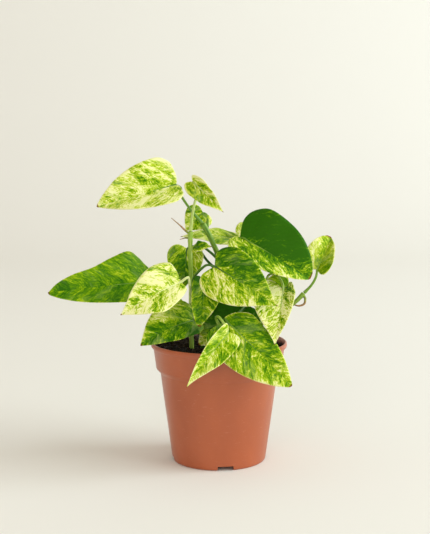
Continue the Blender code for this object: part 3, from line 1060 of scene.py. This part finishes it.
LEAVES = {
    "leaf_top_left": LeafPlan(
        (-37, -8, 244), (-104, -24, 226), (-0.1, -0.98, 0.1),
        Half(27, 5, 0.35, 0.4), Half(25, 52, 0.25, 0.5),
        ((-14.5, 1.9, 209.8), (-20, 0, 216), (-27, -2, 225), (-33, -5, 235), (-33, -7, 241)),
        lobe=0.4, marbling=Marbling(0.67, 0.05, -0.08, 0.08, 0.65), slot="leaf_cream",
    ),
    "leaf_top_folded": LeafPlan(
        (-23, -10, 247), (4, -22, 221), (0.1, -0.95, 0.3), Half(11, 5), Half(10, 58),
        ((-24.8, -4, 203.7), (-23.5, -5, 215), (-21.5, -5, 226), (-19.5, -4, 235), (-20, -5, 243)),
        arch=2, marbling=Marbling(0.66, -0.15, -0.15, 0.15, 0.6), stalk_tone=0.8, slot="leaf_cream",
    ),
    "leaf_top_young": LeafPlan(
        (-14, 16, 218), (-30, 10, 202), (-0.1, -0.95, 0.3), Half(13), Half(13),
        ((-10.5, 6.5, 206), (-10, 12, 211), (-11, 17, 216)),
        arch=1, marbling=Marbling(0.48, 0.0, 0.0, 0.1, 0.6),
    ),
    "leaf_left_long": LeafPlan(
        (-61, -6, 159), (-146, -30, 153), (0, -0.9, 0.3),
        Half(29.5, 5, outline=Outline.RIDGED, turn=9), Half(22, 35, 0.45),
        ((-29.8, 5, 136.2), (-39, 2, 147), (-50, -3, 155)),
        arch=4, marbling=Marbling(0.29, 0.04, -0.1, 0.05, 0.4, 0.1), ruffle=Ruffle(1.6, 1.4, 0.0),
    ),
    "leaf_left_cream": LeafPlan(
        (-32, -38, 163.5), (-82, -60, 139), (-0.2, -0.9, 0.4),
        Half(23, 12), Half(19, 12, outline=Outline.SLOPED),
        ((-24, -4.8, 141), (-24, -14, 148), (-25, -25, 157), (-25.5, -33, 165), (-27, -37, 167)),
        arch=4, lobe=0.3, marbling=Marbling(0.74, -0.05, 0.0, 0.15, 0.8), stalk_tone=0.95,
        slot="leaf_cream",
    ),
    "leaf_left_low": LeafPlan(
        (-22.5, -15, 126.5), (-67, -38, 109), (-0.1, -0.8, 0.55),
        Half(25, 12, 0.2), Half(16, 12, 0.3),
        ((-24.8, -6.6, 115), (-24, -11, 119.5), (-21.5, -13.5, 124)),
        arch=6, lobe=1.3, marbling=Marbling(0.36, 0.3, 0.0, 0.05, 0.6),
    ),
    "leaf_inner_round": LeafPlan(
        (-28, 8, 187), (-31, 6, 151), (0, -0.95, 0.1), Half(17, 8), Half(15, 8),
        ((-1.2, 14.2, 166), (-10.5, 13, 175.6), (-17, 12, 184.5), (-23, 11, 188.5)),
        marbling=Marbling(0.47, 0.0, -0.25, 0.1, 0.6), stalk_tone=0.15,
    ),
    "leaf_centre_down": LeafPlan(
        (-12, -17, 161), (-16, -38, 125), (0.1, -0.95, 0.3), Half(13, 30, 0.6), Half(16, 25, 0.15),
        ((0.6, 6, 152.6), (-4, -4, 162), (-9, -12, 165)),
        marbling=Marbling(0.36, 0.0, 0.15, 0.1, 0.6),
    ),
    "leaf_centre_large": LeafPlan(
        (-4, -32, 176), (49, -52, 145), (0.15, -0.98, 0.15), Half(25, 6), Half(23.5, 6),
        ((-21.4, -3.6, 152), (-22, -12, 163), (-14, -25, 174), (-9, -31, 177)),
        arch=4, marbling=Marbling(0.50, 0.18, 0.05, 0.08, 0.65, 0.12), stalk_tone=0.2,
    ),
    "leaf_right_dark": LeafPlan(
        (18, -10, 199), (78, -28, 165), (0.2, -0.95, 0.2),
        Half(24, 35, 0.4, 0.3), Half(34, 4, 0.52),
        ((2.6, 1.8, 152.6), (8, -3, 172), (14, -6, 190)),
        arch=4, marbling=Marbling(0.22, 0.38, 0.14, 0.0, 0.75, 0.0), slot="leaf_dark",
    ),
    "leaf_back_light": LeafPlan(
        (17, 30, 193), (-34, 16, 197), (0, -0.45, 0.9), Half(12), Half(18),
        ((7.4, 8.4, 152.6), (14, 18, 168), (20, 29, 186)),
        marbling=Marbling(0.6, contrast=0.6),
    ),
    "leaf_back_small": LeafPlan(
        (24, 16, 197), (44, 42, 207), (0.1, -0.5, 0.85), Half(14), Half(14),
        ((5.6, 3.6, 152.6), (20, 5, 172), (25, 10, 190)),
        marbling=Marbling(0.55, contrast=0.6),
    ),
    "leaf_right_small": LeafPlan(
        (86, 0, 169), (99, 12, 197), (0, -0.98, -0.1), Half(14, 55, 0.3), Half(17, 8, 0.6),
        ((74.7, -4, 149.3), (81, -3, 156), (85, -1, 163)),
        arch=2, marbling=Marbling(0.52, -0.12, 0.12, 0.1, 0.5), stalk_tone=0.5,
    ),
    "leaf_right_cream": LeafPlan(
        (55, -24, 155), (46, -62, 114), (0, -0.95, 0.3), Half(25, 6), Half(12.8, 38),
        ((39.5, 0.4, 126.4), (41, 0, 145), (42, -6, 163), (48, -14, 167), (54, -20, 161)),
        arch=4, lobe=2, marbling=Marbling(0.78, 0.0, 0.0, 0.1, 0.85, 0.0), stalk_tone=0.7,
        slot="leaf_cream",
    ),
    "leaf_right_inner": LeafPlan(
        (60, 14, 151), (34, 18, 148), (0, -0.7, 0.7), Half(15), Half(15),
        ((60, 1.5, 139.4), (63, 8, 144), (62, 13, 149)),
        marbling=Marbling(0.4, contrast=0.35, milk_sheen=0.0),
    ),
    "leaf_front_narrow": LeafPlan(
        (8, -53.5, 123.5), (-27, -80, 82), (-0.1, -0.9, 0.4),
        Half(14, 68, 0.1), Half(14.5, 4, -0.2),
        ((1.6, -38.6, 124), (-2.5, -39, 132), (-0.5, -46, 135), (4.5, -53, 129.5)),
        arch=4, lobe=0.4, marbling=Marbling(0.63, 0.0, 0.1, 0.08, 0.6), stalk_tone=0.6,
    ),
    "leaf_front_large": LeafPlan(
        (6, -44, 131), (60, -70, 81), (0.1, -0.95, 0.3), Half(28, 6, 0.4), Half(19, 6, 0.35, 1),
        ((5, -36.5, 124), (4.5, -38, 129), (5, -42, 132.5)),
        arch=4, lobe=0.6, marbling=Marbling(0.44, 0.08, 0.05, 0.08, 0.6, 0.15),
    ),
    "leaf_low_inner": LeafPlan(
        (26, -5, 138), (-18, -9, 104), (-0.1, -0.95, 0.2), Half(22, 6, 0.3), Half(22, 6, 0.3),
        ((5.6, -30.4, 117), (11, -24, 127), (21, -10, 137)),
        # Its marbling is painted shade: nearly the deepest green, darkest at the base under the
        # leaves above it and lighter towards the tip.
        arch=2, marbling=Marbling(0.06, tip_lean=0.85, contrast=0.6), stalk_tone=0.1,
    ),
    "leaf_mid_small": LeafPlan(
        (-22, -6, 189), (-6, -14, 191), (0.1, -0.8, 0.6), Half(6), Half(6),
        ((-2, 3.3, 179), (-5, 2.6, 182), (-13, 0, 188.5), (-18, -4, 190)),
        arch=2, marbling=Marbling(0.35, 0.2, contrast=0.7), stalk_tone=0.15,
    ),
}


@dataclass
class Stem:
    """One rooted cutting: a jointed stem with the thin dry growths that belong to it.

    knots are shares of the length where a leaf scar rings the stem.
    """

    name: str
    route: tuple[Station, ...]
    spurs: tuple[tuple[Station, ...], ...] = ()
    knots: tuple[float, ...] = (0.45, 0.72)
    tone: float = 0.35

    KNOT_SWELL, KNOT_REACH = 0.16, 0.015
    FRONT = Vector((0, -1, 0))

    def add_tube(self, name: str, tube: Tube, finish: StalkFinish | DryFinish) -> None:
        """Adds a tube as a piece of this stem."""
        add_piece(name, tube.mesh(name), [finish.material(name)], self.name)

    def build_stem(self) -> None:
        """Builds the stem, which swells a little at its knots."""
        points = smooth_route(self.route, 1.5)
        radii = []
        for index, point in enumerate(points):
            share = index / (len(points) - 1)
            bumps = [bell(share - knot, self.KNOT_REACH) for knot in self.knots]
            radii.append(point[3] * (1 + self.KNOT_SWELL * sum(bumps)))
        tube = Tube([point.to_3d() for point in points], radii, self.FRONT, 16, 0.08)
        self.add_tube(f"{self.name}_stem", tube, StalkFinish(self.tone))

    def build_spur(self, number: int, spur: tuple[Station, ...]) -> None:
        """Builds one dry growth on the stem.

        Args:
            number: which one it is, from 1.
            spur: its points with radii.
        """
        points = smooth_route(spur, 1.0)
        radii = [point[3] for point in points]
        tube = Tube([point.to_3d() for point in points], radii, sides=10, groove=0.5)
        self.add_tube(f"{self.name}_spur_{number}", tube, DryFinish())

    def build(self) -> None:
        """Builds and dresses the stem with its growths."""
        self.build_stem()
        for number, spur in enumerate(self.spurs, 1):
            self.build_spur(number, spur)


STEMS = (
    Stem(
        "vine_tall",
        (
            (-24, -4, 79, 2.1), (-24, -4, 103, 2.1), (-24.5, -3.5, 118, 2.2),
            (-24.6, -1.5, 140, 2.0), (-24.6, 0, 160, 1.9), (-25, -3, 180, 1.9),
            (-25, -4, 197, 2.0), (-25, -4, 203, 2.3),
        ),
        (
            ((-25, -4, 201, 1.4), (-29, -5, 204, 1.1), (-34, -7, 209, 0.7), (-41, -8, 215, 0.35)),
            ((-25, -4, 197, 1.2), (-29, -3, 197.5, 0.8), (-34, -2, 196, 0.35)),
        ),
        (0.3, 0.62, 0.93),
        0.6,
    ),
    Stem(
        "vine_lean",
        (
            (12, 18, 79, 2.4), (12, 18, 103, 2.4), (9, 18, 130, 2.4), (4, 16, 160, 2.4),
            (-1, 9, 181, 2.4), (-5, 5, 191, 2.3), (-9, 3, 200, 2.3), (-14, 2, 209, 2.8),
        ),
        tone=0.42,
    ),
    Stem(
        "vine_centre",
        ((2, 4, 79, 2.6), (2, 4, 103, 2.6), (3, 5, 125, 2.6), (4, 6, 148, 2.8), (4, 6, 151, 2.4)),
        tone=0.2,
    ),
    Stem(
        "vine_right",
        (
            (24, 4, 79, 2.1), (24.4, 4, 103, 2.1), (29, 3, 114, 2.1), (40, 0, 123, 2.1),
            (54, -3, 132, 1.9), (66, -4, 140.5, 1.8), (74, -4, 148.5, 2.2),
        ),
        (
            (
                (74, -4, 147, 1.3), (75.5, -5, 144, 1.2), (74.5, -5.5, 139.5, 1.1),
                (70, -6.5, 138, 0.9), (66, -8, 139, 0.6),
            ),
        ),
        tone=0.6,
    ),
    Stem(
        "vine_front",
        ((4, -30, 79, 2.2), (4, -30, 103, 2.2), (4, -32, 113, 2.2), (3.5, -36, 122, 2.5)),
        tone=0.3,
    ),
    Stem(
        "vine_left",
        (
            (-14, 4, 79, 2.3), (-14, 4, 103, 2.3), (-17, 4, 113, 2.3), (-23, 5, 124, 2.3),
            (-29, 5, 135, 2.4),
        ),
        tone=0.2,
    ),
)


@dataclass
class Pot:
    """A moulded nursery pot: lip, band, shoulder, tapering wall, foot ring and raised bottom.

    The notches in the foot ring let water out from below the bottom. notch_size is that of a
    block through the ring, half of it below the ground, and notch_turn is the first one's angle
    in degrees. pad_radius is that of the low pad in the middle of the underside.
    """

    height: float
    rim_radius: float
    wall: float = 1.2
    foot_clearance: float = 4.2
    notch_ring: float = 39.9
    notch_size: tuple[float, float, float] = (9.0, 14.0, 7.8)
    notch_rounding: float = 0.8
    notch_count: int = 4
    notch_turn: float = -82.0
    drain_radius: float = 3.5
    drain_ring: float = 25.0
    drain_depth: float = 6.0
    drain_count: int = 6
    pad_radius: float = 13.0
    sides: int = 144
    sharp: float = 38.0

    def section(self) -> list[tuple[float, float]]:
        """The section of the shell, from the middle of its underside round to its floor.

        Returns:
            Its points as (radius, height).
        """
        pad, raised, lip = self.pad_radius, self.foot_clearance, self.height
        floor = raised + self.wall
        underside = [
            (0, 0.3), (1.6, 0.3), (2.0, 0), (pad - 0.4, 0), (pad, 0.3), (pad + 0.9, raised - 0.3),
            (pad + 1.3, raised), (36.6, raised), (37.1, raised - 0.4), (37.9, 0.4), (38.4, 0),
        ]
        outside = [
            (39.9, 0), (40.6, 0.3), (41.2, 1.0), (41.5, 2.2), (41.9, 5), (43.2, 14.5), (44.6, 25),
            (47.2, 44), (49.6, 62), (51.6, 78.1), (52.1, 79.0), (55.1, 82.2), (55.5, 83.2),
            (56.6, 92), (57.8, 100.6), (58.1, 101.1),
        ]
        rim = [
            (59.2, 101.2), (59.75, 101.9), (self.rim_radius, 103.3), (59.8, 104.5), (59.3, 105.3),
            (58.8, lip), (58.4, 105.5), (58.1, 104.9),
        ]
        inside = [
            (57.3, 102.5), (56.6, 99.5), (54.6, 84.5), (54.2, 83.4), (51.0, 79.9), (50.5, 78.9),
            (48.4, 62), (46.0, 44), (43.4, 25), (40.85, 7.2), (40.5, 6.1), (39.2, floor),
            (pad, floor), (0, floor),
        ]
        return underside + outside + rim + inside

    def turned(self, number: int, count: int, degrees: float = 0.0) -> Matrix:
        """The turn to one of so many places round the axis."""
        return Matrix.Rotation(math.radians(degrees) + math.tau * number / count, 4, "Z")

    def notch(self, number: int) -> Mesh:
        """The shape that cuts one drain notch out of the foot ring, with a rounded top.

        Args:
            number: which notch it is, from 0.

        Returns:
            The cutter's mesh.
        """
        size = Matrix.Diagonal((*(side * MM for side in self.notch_size), 1))
        place = Matrix.Translation((self.notch_ring * MM, 0, 0))
        bm = bmesh.new()
        bmesh.ops.create_cube(bm, size=1, matrix=place @ size)
        top = [edge for edge in bm.edges if all(vert.co.z > 0 for vert in edge.verts)]
        radial = [edge for edge in top if abs(edge.verts[0].co.y - edge.verts[1].co.y) < 1e-9]
        bmesh.ops.bevel(
            bm, geom=radial, offset=self.notch_rounding * MM, segments=3, affect="EDGES",
            profile=0.5, material=-1,
        )
        turn = self.turned(number, self.notch_count, self.notch_turn)
        bmesh.ops.transform(bm, matrix=turn, verts=bm.verts)
        return finish_mesh(bm, "notch")

    def drain(self, number: int) -> Mesh:
        """The shape that cuts one drain hole through the bottom.

        Args:
            number: which hole it is, from 0.

        Returns:
            The cutter's mesh.
        """
        place = Matrix.Translation((self.drain_ring * MM, 0, self.foot_clearance * MM))
        radius = self.drain_radius * MM
        bm = bmesh.new()
        bmesh.ops.create_cone(
            bm, cap_ends=True, segments=32, radius1=radius, radius2=radius,
            depth=self.drain_depth * MM, matrix=self.turned(number, self.drain_count) @ place,
        )
        return finish_mesh(bm, "drain")

    def build(self) -> None:
        """Builds and dresses the pot."""
        shell = link_object("shell", finish_mesh(lathe(self.section(), self.sides), "shell"))
        meshes = [self.notch(number) for number in range(self.notch_count)]
        meshes += [self.drain(number) for number in range(self.drain_count)]
        cutters = [link_object(mesh.name, mesh) for mesh in meshes]
        for cutter in cutters:
            cut = shell.modifiers.new(cutter.name, "BOOLEAN")
            cut.object = cutter
            cut.operation = "DIFFERENCE"
        graph = bpy.context.evaluated_depsgraph_get()
        mesh = bpy.data.meshes.new_from_object(shell.evaluated_get(graph))
        for spent in (shell, *cutters):
            bpy.data.objects.remove(spent)
        mesh.name = "pot_shell"
        mesh.shade_smooth()
        mesh.set_sharp_from_angle(angle=math.radians(self.sharp))
        mesh.materials.clear()
        add_piece("pot_shell", mesh, [PotFinish().material("terracotta plastic")], "pot")


@dataclass(frozen=True)
class Grains:
    """Loose grains on the peat: how many, their smallest and largest radius, and their finish."""

    name: str
    count: int
    sizes: tuple[float, float]
    finish: PeatFinish | GrainFinish
    finish_name: str


@dataclass
class Soil:
    """The bed of peat: a lumpy body with loose crumbs, fibres and a few grains on it."""

    top: float = 99.5
    floor: float = 5.75
    surface_radius: float = 55.4
    rings: int = 44
    sides: int = 160
    seed: int = 11
    grain_reach: float = 54.0
    fibre_reach: float = 53.0
    fibres: int = 90
    sharp: float = 50.0
    grains: tuple[Grains, ...] = (
        Grains("soil_crumbs", 900, (0.5, 2.3), PeatFinish(0.08), "crumb"),
        Grains("soil_perlite", 26, (0.35, 0.8), GrainFinish(linear(196, 176, 150)), "perlite"),
        Grains("soil_chips", 22, (0.4, 0.8), GrainFinish(linear(176, 70, 42)), "bark chip"),
    )

    def height(self, x: float, y: float) -> float:
        """The surface's height, with its slow swell and its lumps.

        Args:
            x: the place's first coordinate.
            y: the place's second one.

        Returns:
            The height there.
        """
        swell = 0.9 * math.sin(x / 6.5 + 1.3) * math.cos(y / 7.5) + 0.6 * math.sin((x + 2 * y) / 9)
        lumps = noise.fractal(Vector((x, y, self.seed)) / 5.0, 0.9, 2.1, 4) * 1.3
        return self.top + swell + lumps

    def build_bed(self) -> None:
        """Builds the body of peat, with its surface in rings that follow the height."""
        section = [
            (0, self.floor), (39.2, self.floor + 0.2), (40.3, 7), (42.9, 25), (47.9, 62),
            (50.1, 79.3), (53.9, 83.7), (55.9, 97.8), (self.surface_radius, self.top),
        ]
        for step in range(1, self.rings + 1):
            section.append((self.surface_radius * (1 - step / self.rings), self.top))
        bm = lathe(section, self.sides)
        for vert in bm.verts:
            if vert.co.z > (self.top - 0.01) * MM:
                vert.co.z = self.height(vert.co.x / MM, vert.co.y / MM) * MM
        self.add_layer(bm, "soil_bed", PeatFinish(), "peat")

    def add_layer(
        self, bm: BMesh, name: str, finish: PeatFinish | GrainFinish, finish_name: str,
        sharp: float = 180.0,
    ) -> None:
        """Adds a finished layer of the bed as a piece.

        Args:
            bm: its shape.
            name: the piece's name.
            finish: its finish.
            finish_name: the name of the finish's material.
            sharp: the angle in degrees above which an edge stays sharp.
        """
        mesh = finish_mesh(bm, name, sharp)
        add_piece(name, mesh, [finish.material(finish_name)], "soil")

    def spot(self, draw: random.Random, reach: float) -> tuple[float, float]:
        """Draws a place on the surface, even over the round."""
        angle, far = draw.uniform(0, math.tau), reach * math.sqrt(draw.random())
        return far * math.cos(angle), far * math.sin(angle)

    def on_surface(self, x: float, y: float, lift: float) -> Matrix:
        """The move to a place on the surface, and so far above it."""
        return Matrix.Translation((x * MM, y * MM, (self.height(x, y) + lift) * MM))

    def scatter(self, grains: Grains) -> None:
        """Strews loose grains over the surface as one piece.

        Args:
            grains: what is strewn.
        """
        draw = random.Random(f"{grains.name} {self.seed}")
        bm = bmesh.new()
        for _ in range(grains.count):
            x, y = self.spot(draw, self.grain_reach)
            radius = draw.uniform(*grains.sizes) * draw.uniform(0.6, 1)
            sides = draw.uniform(0.7, 1.6), draw.uniform(0.7, 1.2), draw.uniform(0.5, 0.9)
            turn = Matrix.Rotation(draw.uniform(0, math.tau), 4, "Z")
            tilt = Matrix.Rotation(draw.uniform(-0.6, 0.6), 4, "X")
            place = self.on_surface(x, y, radius * 0.3) @ turn @ tilt
            grain = bmesh.ops.create_icosphere(
                bm, subdivisions=1, radius=radius * MM, matrix=place @ Matrix.Diagonal((*sides, 1))
            )
            for vert in grain["verts"]:
                dent = [draw.uniform(-0.18, 0.18) * radius * MM for _ in range(3)]
                vert.co += Vector(dent)
        self.add_layer(bm, grains.name, grains.finish, grains.finish_name, self.sharp)

    def build_fibres(self) -> None:
        """Strews short bits of root and bark fibre over the surface as one piece."""
        draw = random.Random(self.seed + 1)
        bm = bmesh.new()
        for _ in range(self.fibres):
            x, y = self.spot(draw, self.fibre_reach)
            length, thick = draw.uniform(3, 9) * MM, draw.uniform(0.15, 0.35) * MM
            turn = Matrix.Rotation(draw.uniform(0, math.tau), 4, "Z")
            lay = Matrix.Rotation(math.pi / 2 + draw.uniform(-0.35, 0.35), 4, "Y")
            bmesh.ops.create_cone(
                bm, cap_ends=True, segments=6, radius1=thick, radius2=thick * 0.4, depth=length,
                matrix=self.on_surface(x, y, 0.5) @ turn @ lay,
            )
        self.add_layer(bm, "soil_fibres", PeatFinish(0.5), "fibre", self.sharp)

    def build(self) -> None:
        """Builds and dresses the bed and what lies on it."""
        self.build_bed()
        for grains in self.grains:
            self.scatter(grains)
        self.build_fibres()


@dataclass(frozen=True)
class Lamp:
    """A square soft light: its place, its target and its side in metres, and its power in watts."""

    name: str
    place: Point
    target: Point
    size: float
    power: float
    colour: Colour

    def build(self) -> None:
        """Adds the light."""
        lamp = bpy.data.lights.new(self.name, "AREA")
        lamp.size = self.size
        lamp.energy = self.power
        lamp.color = self.colour
        light = link_object(self.name, lamp)
        light.location = self.place
        aim = Vector(self.target) - Vector(self.place)
        light.rotation_euler = aim.to_track_quat("-Z", "Y").to_euler()


@dataclass
class Studio:
    """A pale floor that sweeps up behind the plant, soft light from the right and the camera.

    The floor's sizes are in metres: it is flat from floor_front to floor_back, bends up with
    the radius sweep and stands upright to wall_top.
    """

    camera_place: Point = (-3.5, -1000, 296)
    pitch: float = 7.1
    lens: float = 77.6
    floor_colour: Colour = linear(236, 235, 228)
    floor_width: float = 6.0
    floor_front: float = -2.2
    floor_back: float = 1.5
    sweep: float = 1.2
    sweep_steps: int = 24
    wall_top: float = 3.6
    room_colour: Colour = (1.0, 0.9, 0.8)
    room_light: float = 0.63
    lamps: tuple[Lamp, ...] = (
        Lamp("key", (3.1, -0.7, 1.6), (0.0, 0.0, 0.12), 3.2, 114.0, (0.89, 0.99, 1.0)),
        Lamp("fill", (-0.4, -2.8, 1.0), (0.0, 0.2, 0.15), 2.0, 20.0, (1.0, 1.0, 0.99)),
        Lamp("wash", (2.2, 0.2, 1.3), (0.9, 2.1, 0.5), 1.0, 12.0, (0.7, 0.86, 1.0)),
    )

    def build_floor(self) -> None:
        """Builds the floor with its curved backdrop."""
        section = [(self.floor_front, 0.0), (self.floor_back, 0.0)]
        for step in range(1, self.sweep_steps + 1):
            angle = math.pi / 2 * step / self.sweep_steps
            back = self.floor_back + self.sweep * math.sin(angle)
            section.append((back, self.sweep * (1 - math.cos(angle))))
        section.append((self.floor_back + self.sweep, self.wall_top))
        bm = bmesh.new()
        verts = [bm.verts.new((-self.floor_width / 2, y, z)) for y, z in section]
        edges = [bm.edges.new(pair) for pair in zip(verts, verts[1:])]
        swept = bmesh.ops.extrude_edge_only(bm, edges=edges)["geom"]
        moved = [item for item in swept if isinstance(item, BMVert)]
        bmesh.ops.translate(bm, vec=(self.floor_width, 0, 0), verts=moved)
        floor = link_object("floor", finish_mesh(bm, "floor"))
        paper = MaterialGraph("paper")
        paper.reflect(0.1)
        paper.shader.inputs["Base Color"].default_value = (*self.floor_colour, 1)
        paper.shader.inputs["Roughness"].default_value = 0.9
        floor.data.materials.append(paper.material)

    def build_lights(self) -> None:
        """Adds the lamps and the even light of the room."""
        for lamp in self.lamps:
            lamp.build()
        world = bpy.data.worlds.new("room")
        world.use_nodes = True
        background = world.node_tree.nodes["Background"]
        background.inputs["Color"].default_value = (*self.room_colour, 1)
        background.inputs["Strength"].default_value = self.room_light
        bpy.context.scene.world = world

    def build_camera(self) -> None:
        """Adds the camera and plain display colours."""
        camera = bpy.data.cameras.new("camera")
        camera.lens = self.lens
        view = link_object("camera", camera)
        view.location = Vector(self.camera_place) * MM
        view.rotation_euler = (math.radians(90 - self.pitch), 0, 0)
        bpy.context.scene.camera = view
        bpy.context.scene.view_settings.view_transform = "Standard"

    def build(self) -> None:
        """Builds the whole studio."""
        self.build_floor()
        self.build_lights()
        self.build_camera()


def main() -> None:
    logging.basicConfig(level=logging.INFO, format="%(name)s %(message)s")
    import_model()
    pot_low, pot_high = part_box("pot")
    Studio().build()
    Pot(height=pot_high.z / MM, rim_radius=(pot_high.x - pot_low.x) / 2 / MM).build()
    Soil().build()
    for stem in STEMS:
        stem.build()
    for number, (name, plan) in enumerate(LEAVES.items()):
        Leaf(name, plan, seed=17.3 + 5.7 * number).build()


if __name__ == "__main__":
    main()
